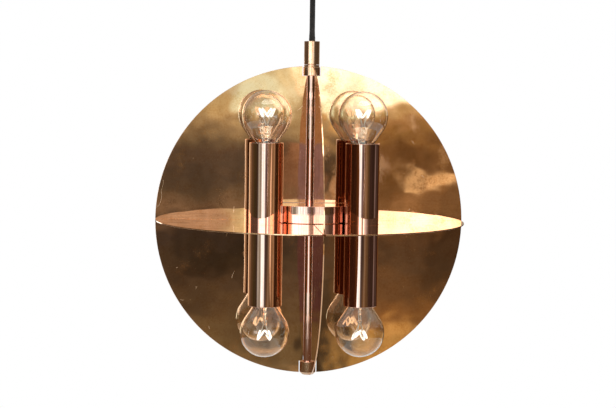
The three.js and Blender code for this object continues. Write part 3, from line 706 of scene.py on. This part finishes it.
def thread_mesh(name, outer, low, high, centre, outward):
    """The rolled shell of a screw cap: a round thread outside, a plain bore inside."""
    turn = along(0, math.tau, SMALL_STEPS)[:, None]
    height = np.linspace(low, high, THREAD_ROWS)[None, :]
    fade = np.clip((height - low) / THREAD_FADE, 0, 1)
    fade = fade * np.clip((low + THREAD_LENGTH - height) / THREAD_FADE, 0, 1)
    wave = 0.5 - 0.5 * np.cos(math.tau * height / THREAD_PITCH - turn)
    outside = outer - THREAD_DEPTH * wave * fade
    inside = np.full((SMALL_STEPS, 2), outer - THREAD_DEPTH - SHELL_WALL)
    radius = np.concatenate([outside, inside], axis=1)
    height = np.concatenate([height, [[high, low]]], axis=1)
    points = round_axis(radius, turn, middle_z + outward * height, centre)
    mesh = surface_mesh(name, points, round_first=True, round_second=True)
    mesh.set_sharp_from_angle(angle=THREAD_SHARP_FROM)
    return mesh


def glass_profile(radius, neck, base, centre):
    """From the neck's end up: the straight neck, the cone that touches the ball, the ball."""
    cone_end = centre - radius / math.sin(GLASS_CONE) + neck / math.tan(GLASS_CONE)
    ball = arc(-GLASS_CONE, math.pi / 2, BALL_POINTS, (0, centre), radius, radius)
    t = np.linspace(0, 1, 7)[:-1, None]
    cone = (1 - t) * np.array([[neck, cone_end]]) + t * ball[:1]
    return np.concatenate([[(neck, base), (neck, (base + cone_end) / 2)], cone, ball])


def crown_path(foot, tips, spin):
    """The filament's line: round the stalk through the supports' tips. Between two tips it dips
    down and in towards the button."""
    turn = np.linspace(CROWN_GAP, math.tau - CROWN_GAP, CROWN_POINTS) + math.pi / 2
    dip = np.abs(np.cos(CROWN_SUPPORTS * turn / 2)) ** 1.2
    height = tips - (tips - foot) * CROWN_DIP * dip
    radius = CROWN_RADIUS * (1 - CROWN_PULL * dip)
    return round_axis(radius, turn + spin, height)


def support_paths(foot, tips, spin):
    """The support wires: from close round the button, out and up to the filament."""
    share = np.linspace(0, 1, SUPPORT_POINTS)
    radius = SUPPORT_FOOT_RADIUS + (CROWN_RADIUS - SUPPORT_FOOT_RADIUS) * share**1.3
    height = foot + (tips - foot) * share
    turns = math.tau * (np.arange(CROWN_SUPPORTS) + 0.5) / CROWN_SUPPORTS + spin
    return [round_axis(radius, turn, height) for turn in turns]


def coiled(path):
    """A helix wound closely round a path."""
    step = np.linalg.norm(np.diff(path, axis=0), axis=1)
    length = np.concatenate([[0], np.cumsum(step)])
    places = np.linspace(0, length[-1], round(length[-1] / COIL_PITCH * COIL_POINTS))
    line = np.stack([np.interp(places, length, path[:, axis]) for axis in range(3)], axis=-1)
    return round_path(line, COIL_RADIUS, math.tau * places[:, None] / COIL_PITCH, (0, 0, 1))[:, 0]


def holder_profile(base, end, flange, bore):
    """A flange, a narrower body, and in it the well for the cap."""
    shoulder, floor = base + HOLDER_FLANGE, base + HOLDER_FLOOR
    outside = [(0, base), (flange, base), (flange, shoulder), (HOLDER_BODY_RADIUS, shoulder)]
    well = [(HOLDER_BODY_RADIUS, end), (bore, end), (bore, floor), (0, floor)]
    return rounded(outside + well, HOLDER_ROUND)


def insulation_profile(base, shell_bore, shoulder):
    """A taper from the contact out to the shell, and a disc that closes the shell."""
    rim = (CONTACT_RADIUS + INSULATION_RIM, base + CONTACT_HEIGHT)
    taper = [(0, base + 0.6 * CONTACT_HEIGHT), rim, (shell_bore, shoulder)]
    disc = [(shell_bore, shoulder + MM), (0, shoulder + MM)]
    return rounded(taper + disc, INSULATION_ROUND)


def contact_profile(base):
    """Half a flattened ball, closed by a flat."""
    flat = base + CONTACT_HEIGHT
    dome = arc(-math.pi / 2, 0, SMALL_ARC_POINTS, (0, flat), CONTACT_RADIUS, CONTACT_HEIGHT)
    return np.concatenate([dome, [(0, flat)]])


def stalk_profile(shell_end, button):
    """Necked over its foot, then straight, with a round button on its end."""
    stalk = [(radius * MM, shell_end + height * MM) for radius, height in STALK_FOOT]
    stalk += [(STALK_RADIUS, shell_end + STALK_STRAIGHT_FROM)]
    stalk = rounded(stalk + [(STALK_RADIUS, button - BUTTON_RADIUS)], STALK_ROUND)
    without_last_curve = stalk[: -CORNER_STEPS - 2]
    ends = BUTTON_FROM, math.pi / 2
    end = arc(*ends, SMALL_ARC_POINTS, (0, button), BUTTON_RADIUS, BUTTON_RADIUS)
    return np.concatenate([without_last_curve, end])


def seal_profile(radius, base, shell_end):
    """A rim that fills the neck, a skirt that narrows, and a flat top for the stalk."""
    skirt_radius, skirt_height = SEAL_SKIRT
    seal = [(0, base), (radius, base), (radius, base + SEAL_RIM_HEIGHT)]
    seal += [(skirt_radius, base + skirt_height)]
    seal += [(radius * MM, shell_end + height * MM) for radius, height in SEAL_TOP]
    return rounded(seal, SEAL_ROUND)


def spans(node, outward):
    """The distances from the level sheet at which a node starts and ends."""
    return sorted(outward * (side.z - middle_z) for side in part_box(node))


def stood(profile, outward):
    """A profile of distances from the level sheet, stood up for 1 or hung down for -1."""
    return np.asarray(profile) * np.array([1, outward]) + np.array([0, middle_z])


phenolic = moulded("moulded_dark_phenolic", "#2B2420", "#1E1917", 0.4, 0.6 * MM)
cap_brass = plain_metal("rolled_cap_brass", "#DCC58E", "#C2A76B", 0.25, 0.6 * MM)
black_glass = moulded("black_glass_insulation", "#17161A", "#101013", 0.15, 2 * MM)
solder = plain_metal("tin_solder", "#D5D6D8", "#B4B6B9", 0.3, 0.8 * MM)
nickel = plain_metal("nickel_wire", "#F0ECE4", "#DCD6CB", 0.35, 0.6 * MM)
tungsten_painted_glow = plain_metal("tungsten_coil_painted_glow", "#F4F1EA", "#DAD5CB", 0.3, 0.4 * MM)
# A painted glow: the tungsten coil is given a faint emission of its own.
painted_glow = tungsten_painted_glow.node_tree.nodes["Principled BSDF"].inputs
painted_glow["Emission Color"].default_value = linear(PAINTED_GLOW)
painted_glow["Emission Strength"].default_value = PAINTED_GLOW_STRENGTH
glass = clear_glass()
# The seal is opaque and white: a painted highlight that stands in for the bright reflections in
# the clear pressed glass at the stalk's foot.
seal_painted_highlight = moulded("pressed_seal_glass_painted_highlight", "#EFECE4", "#D9D5CB", 0.12, 1.2 * MM)
dress(brass, *(f"nipple_{corner}" for corner in CORNERS))

for corner in CORNERS:
    low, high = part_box(f"tube_{corner}")
    tube_radius, centre = half_width(f"tube_{corner}"), axis_of(f"tube_{corner}")
    tube = pipe(tube_radius - TUBE_WALL, tube_radius, low.z, high.z)
    tube_mesh = turned_mesh(f"drawn_tube_{corner}", rounded(tube, EDGE_ROUND), centre)
    add_piece(tube_mesh, tube_copper, "pendant", "copper_tube", f"tube_{corner}")

    for end, outward in (("top", 1), ("bottom", -1)):
        body, holder = f"bulb_{corner}_{end}", f"holder_{corner}_{end}"
        base, shell_end = spans(f"{body}_cap", outward)
        shell_radius = half_width(f"{body}_cap")
        shell_bore = shell_radius - THREAD_DEPTH - SHELL_WALL
        shoulder = base + CONTACT_HEIGHT + TAPER_HEIGHT
        glass_base, glass_tip = spans(f"{body}_glass", outward)
        ball_radius = half_width(f"{body}_glass")
        ball_centre = glass_tip - ball_radius
        neck = shell_bore - SEAT_GAP
        seal_radius = neck - GLASS_WALL - SEAT_GAP
        button = shell_end + STALK_HEIGHT - BUTTON_RADIUS
        tips = spans(f"{body}_mount", outward)[1]
        spin = BULB_SPINS[corner][end == "bottom"]

        well = shell_radius + SEAT_GAP
        profile = holder_profile(*spans(holder, outward), half_width(holder), well)
        name = f"lampholder_{corner}_{end}"
        mesh = turned_mesh(name, stood(profile, outward), centre, FINE_STEPS)
        add_piece(mesh, phenolic, "pendant", "dark_phenolic", holder)
        mesh = thread_mesh(f"{body}_shell", shell_radius, shoulder, shell_end, centre, outward)
        add_piece(mesh, cap_brass, body, "bulb_cap_metal", f"{body}_cap")

        outside, inside = (
            glass_profile(ball_radius - inset, neck - inset, glass_base, ball_centre)
            for inset in (0, GLASS_WALL)
        )
        ball = np.concatenate([outside, inside[::-1]])
        insulation = insulation_profile(base, shell_bore, shoulder)
        contact = contact_profile(base)
        stalk = stalk_profile(shell_end, button)
        seal = seal_profile(seal_radius, glass_base, shell_end)
        for part, profile, steps, material, slot, *nodes in [
            ("insulation", insulation, SMALL_STEPS, black_glass, "bulb_cap_metal"),
            ("contact", contact, TINY_STEPS, solder, "bulb_cap_metal"),
            ("ball", ball, FINE_STEPS, glass, "clear_glass", f"{body}_glass"),
            ("stalk", stalk, SMALL_STEPS, glass, "bulb_mount", f"{body}_mount"),
            ("seal", seal, TINY_STEPS, seal_painted_highlight, "bulb_mount"),
        ]:
            mesh = turned_mesh(f"{body}_{part}", stood(profile, outward), centre, steps)
            add_piece(mesh, material, body, slot, *nodes)

        foot, flip = np.append(centre, middle_z), np.array([1, 1, outward])
        coil = coiled(crown_path(button, tips, spin))
        for part, paths, radius, sides, material in [
            ("supports", support_paths(button, tips, spin), WIRE_RADIUS, 6, nickel),
            ("filament", [coil], COIL_WIRE_RADIUS, 5, tungsten_painted_glow),
        ]:
            paths = [foot + path * flip for path in paths]
            mesh = wires_mesh(f"{body}_{part}", paths, radius, sides)
            add_piece(mesh, material, body, "bulb_mount")

# Studio
# A pale floor under the lamp, in a plain white surround. What the polished copper mirrors is
# a dim brown room: high windows along one side, an upright white opening beside them, a pale
# wall, and a skylight overhead.
FLOOR_DROP = 0.75
FLOOR_RADIUS = 2.2
FLOOR_RINGS = 12
PAPER_FIBRE = 4 * MM
SOFTBOXES = [  # name, place from the lamp's middle, width in metres, power in watts
    ("key_softbox", (-1.1, -1.5, 0.9), 1.2, 14),
    ("fill_softbox", (1.4, -1.2, 0.5), 1.4, 7),
    ("rear_softbox", (0.3, 1.6, 1.0), 1.4, 7),
]
WINDOW_STRENGTH = 2.9
WINDOW_UNEVENNESS = (0.5, 1.55)  # times as bright where the mirrored light is lowest and highest
DIFFUSE_LEVEL = 0.6
SKYLIGHT = "#FFFBEA"
SKYLIGHT_GAIN = 0.9
HIGH_LOSS = 0.45
ROOM_FLOOR, ROOM_HIGH, ROOM_CEILING = "#43372A", "#9A9284", "#B5AEA2"
# Colours round the room by compass angle from the front, in degrees, under and over eye level.
ROOM_UNDER_EYE_LEVEL = [
    (-180, "#3F362A"), (-166, "#5B5D5E"), (-162, "#FFFFFF"), (-148, "#FFFFFF"), (-144, "#443A30"),
    (-104, "#352B1A"), (-85, "#272313"), (-62, "#231C14"), (-55, "#6A7069"), (-50, "#7B857E"),
    (-45, "#5E6257"), (-38, "#5E6158"), (-35, "#76847C"), (-31, "#C6D8DA"), (-13, "#C6D8DA"),
    (-10.5, "#7C8A88"), (-7.5, "#545550"), (1, "#6F6858"), (14, "#655F4E"), (22, "#554931"),
    (29, "#4A3C29"), (36, "#39301E"),
    (51, "#241B16"), (85, "#1F1811"), (89, "#4E4845"), (95, "#4E4845"), (99, "#2E2620"),
    (150, "#241D18"), (180, "#3F362A"),
]
ROOM_OVER_EYE_LEVEL = [
    (-180, "#6B6256"), (-140, "#6B6256"), (-132, "#3D3228"), (-62, "#3D352E"), (-56, "#7A8088"),
    (-49, "#FFFFFF"), (-9, "#FFFFFF"), (-5, "#7A746C"), (1.5, "#7A746C"), (2.6, "#939C87"),
    (4.6, "#8E9583"), (5.4, "#FFFFFF"), (8.5, "#FFFFFF"), (11, "#CFC8BC"), (16, "#A0A5A5"),
    (27, "#8C9090"), (34, "#55514A"), (44, "#3A322A"), (120, "#30281F"), (130, "#6B6256"),
    (180, "#6B6256"),
]
# Colours up the room's front wall and floor, by degrees over eye level.
ROOM_FRONT_LEFT = [
    (-16, "#796D56"), (-11.4, "#79705B"), (-10.8, "#464234"), (-9.5, "#3F3A2C"), (-8.5, "#3A3428"),
    (-7.5, "#342E26"), (-6.5, "#2C2821"), (-5.5, "#24211F"), (-4.7, "#4E453A"), (-4, "#3F3A31"),
    (-3.2, "#312E2A"), (-2.7, "#39342E"), (-2.25, "#484439"), (-1.75, "#5B5646"),
    (-1.25, "#6F6B56"), (-0.75, "#706D55"), (-0.25, "#747360"), (0.8, "#9FA79F"),
]
ROOM_FRONT_RIGHT = [
    (-16, "#7D6842"), (-10.3, "#82744A"), (-9.3, "#7F6D46"), (-8.7, "#4A3A24"), (-7.5, "#3A2F21"),
    (-6.5, "#2F281F"), (-5.5, "#342A1F"), (-4.5, "#5C4C37"), (-3.75, "#52422C"),
    (-2.75, "#483926"), (-2.25, "#4E3F2A"), (-1.75, "#625234"), (-1.25, "#746246"),
    (-0.75, "#8C8868"), (-0.25, "#A3AD98"), (0.8, "#B5C2C2"),
]
# Patches on that wall: colour, the degrees from west to east and from low to high, and the
# degrees in which its sides and its top and bottom fade.
ROOM_PATCHES = [
    ("#9A8B6E", (8.2, 10.9, -4.0, -3.0), (0.5, 0.3)),
    ("#624F40", (3.4, 5.3, -4.6, -2.0), (0.5, 0.3)),
    ("#8A7660", (5.2, 6.3, -4.5, -3.1), (0.5, 0.3)),
    ("#FFFFFF", (6.1, 7.05, -4.5, -2.0), (0.5, 0.3)),
    ("#9DB3AD", (1.5, 4.8, -1.4, 1.0), (1.2, 0.6)),
    ("#8A7B58", (5.2, 7.2, -2.1, -1.0), (0.6, 0.4)),
    ("#C0D7CC", (5.2, 7.2, -1.35, 1.0), (0.6, 0.4)),
    ("#29251D", (4.6, 6.15, -11.5, -7.0), (0.5, 0.3)),
    ("#5D535C", (-7.5, -3.3, -5.0, -1.9), (0.5, 0.3)),
    ("#62523F", (-7.5, -3.3, -2.2, 0.3), (0.5, 0.3)),
    ("#32262A", (-7.5, -3.3, -8.6, -5.0), (0.5, 0.3)),
]

bpy.context.scene.view_settings.view_transform = "Standard"
floor_material, add, place = new_material("pale_studio_paper")
fibre = add("TexNoise", {"Vector": place, "Scale": 1 / PAPER_FIBRE, "Detail": 3.0})
tint = add("ValToRGB", {"Fac": fibre}, stops=[(0.3, "#F1EFEB"), (0.7, "#F5F3F0")])
paper = add("BsdfDiffuse", {"Color": tint, "Roughness": 1.0})
clear = add("BsdfTransparent")
below = add("NewGeometry").outputs["Backfacing"]
either = add("MixShader", {0: below, 1: paper, 2: clear})
add("OutputMaterial", {"Surface": either})
reach, turn = np.linspace(0, FLOOR_RADIUS, FLOOR_RINGS), along(0, math.tau, FINE_STEPS)
floor_points = round_axis(reach, turn[:, None], middle_z - FLOOR_DROP)
floor_mesh = surface_mesh("studio_floor", floor_points, round_first=True)
if floor_mesh.polygons[0].normal.z < 0:
    floor_mesh.flip_normals()
floor_mesh.materials.append(floor_material)
add_object("studio_floor", floor_mesh)

for name, offset, width, power in SOFTBOXES:
    data = bpy.data.lights.new(name, "AREA")
    data.size, data.energy = width, power
    softbox = add_object(name, data)
    softbox.location = lamp_middle + Vector(offset)
    softbox.rotation_euler = (lamp_middle - softbox.location).to_track_quat("-Z", "Y").to_euler()
    softbox.visible_glossy = softbox.visible_transmission = softbox.visible_camera = False

world = bpy.data.worlds.new("studio")
bpy.context.scene.world = world
world.use_nodes = True
world.node_tree.nodes.clear()
add = partial(add_node, world.node_tree)


def degrees_ramp(angle, stops):
    """Colours by an angle. stops are (degrees, hex colour) pairs from low to high."""
    low, high = stops[0][0], stops[-1][0]
    limits = {"Value": angle, "From Min": math.radians(low), "From Max": math.radians(high)}
    share = add("MapRange", limits)
    places = [((degrees - low) / (high - low), colour) for degrees, colour in stops]
    return add("ValToRGB", {"Fac": share}, stops=places)


def within(*edges):
    """How far a direction lies inside all of some soft edges, from 0 to 1. Each edge is an
    angle, and the degrees at which its smooth rise starts and ends."""
    share = 1.0
    for angle, start, end in edges:
        limits = {"Value": angle, "From Min": math.radians(start), "From Max": math.radians(end)}
        rise = add("MapRange", limits, interpolation_type="SMOOTHSTEP")
        share = add("Math", {0: rise, 1: share}, operation="MULTIPLY")
    return share


def shifted(value, amount, *edges):
    """A value with an amount added inside some soft edges."""
    return add("Math", {0: within(*edges), 1: amount, 2: value}, operation="MULTIPLY_ADD")


def painted(colour, *layers):
    """A colour with layers laid over it in turn. Each is a colour, then its soft edges."""
    for layer, *edges in layers:
        inputs = {"Factor": within(*edges), 6: colour, 7: layer}
        colour = add("Mix", inputs, data_type="RGBA").outputs[2]
    return colour


ray = add("LightPath").outputs
direction = add("TexCoord").outputs["Generated"]
axes = add("SeparateXYZ", {0: direction}).outputs
frontward = add("Math", {0: axes["Y"], 1: -1.0}, operation="MULTIPLY")
azimuth = add("Math", {0: axes["X"], 1: frontward}, operation="ARCTAN2")
elevation = add("Math", {0: axes["Z"]}, operation="ARCSINE")

# Under eye level: the room's sides, its floor, and its front wall in two parts that meet at a
# leaning edge, with the patches on it.
leaning = shifted(azimuth, -math.radians(0.6), (elevation, -7.5, -8.5))
front_left = degrees_ramp(elevation, ROOM_FRONT_LEFT)
front_right = degrees_ramp(elevation, ROOM_FRONT_RIGHT)
wall = painted(front_left, (front_right, (leaning, 5.2, 6.2)))
for colour, (west, east, low, high), (side, end) in ROOM_PATCHES:
    sides = (azimuth, west, west + side), (azimuth, east, east - side)
    ends = (elevation, low, low + end), (elevation, high, high - end)
    wall = painted(wall, (linear(colour), *sides, *ends))
under = painted(
    degrees_ramp(azimuth, ROOM_UNDER_EYE_LEVEL),
    (linear(ROOM_FLOOR), (elevation, -8.2, -10)),
    (wall, (azimuth, -7.5, -6.5), (azimuth, 19, 11)),
)

# Over eye level: the windows, the room over them, the ceiling and the skylight in it. The line
# between the two sinks a little to the right.
over = painted(
    degrees_ramp(azimuth, ROOM_OVER_EYE_LEVEL),
    (linear(ROOM_HIGH), (elevation, 9, 22)),
    (linear(ROOM_CEILING), (elevation, 50, 75)),
)
horizon = shifted(elevation, math.radians(1.1), (azimuth, 1.5, 7))
horizon = shifted(horizon, -math.radians(0.6), (azimuth, 7, 11))
skylight = [(elevation, 50, 54), (elevation, 80, 74), (azimuth, -50, -44), (azimuth, 64, 58)]
colours = painted(under, (over, (horizon, 0.0, 0.9)), (linear(SKYLIGHT), *skylight))
cloud = add("TexNoise", {"Vector": direction, "Scale": 22.0, "Detail": 4.0})
dimmest, brightest = (times * WINDOW_STRENGTH for times in WINDOW_UNEVENNESS)
limits = {"Value": cloud, "From Min": 0.3, "From Max": 0.7, "To Min": dimmest, "To Max": brightest}
uneven = add("MapRange", limits)
gain = shifted(shifted(1.0, SKYLIGHT_GAIN, *skylight), -HIGH_LOSS, (elevation, 8, 14))
strength = add("Math", {0: uneven, 1: gain}, operation="MULTIPLY")

# Mirrored and refracted rays meet the room, but the camera, also straight through glass, meets
# white, and the light on dull surfaces is plain.
room = add("Background", {"Color": colours, "Strength": strength})
plain = add("Background", {"Color": (1, 1, 1, 1), "Strength": DIFFUSE_LEVEL})
white = add("Background", {"Color": (1, 1, 1, 1), "Strength": 1.0})
straight = add("Math", {0: ray["Glossy Depth"], 1: 0.5}, operation="LESS_THAN")
refracted = ray["Is Transmission Ray"]
through = add("Math", {0: refracted, 1: straight}, operation="MULTIPLY")
seen = add("Math", {0: ray["Is Camera Ray"], 1: through}, operation="MAXIMUM")
mirrored = add("Math", {0: ray["Is Glossy Ray"], 1: refracted}, operation="MAXIMUM")
lit = add("MixShader", {0: mirrored, 1: plain, 2: room})
surround = add("MixShader", {0: seen, 1: lit, 2: white})
add("OutputWorld", {"Surface": surround})
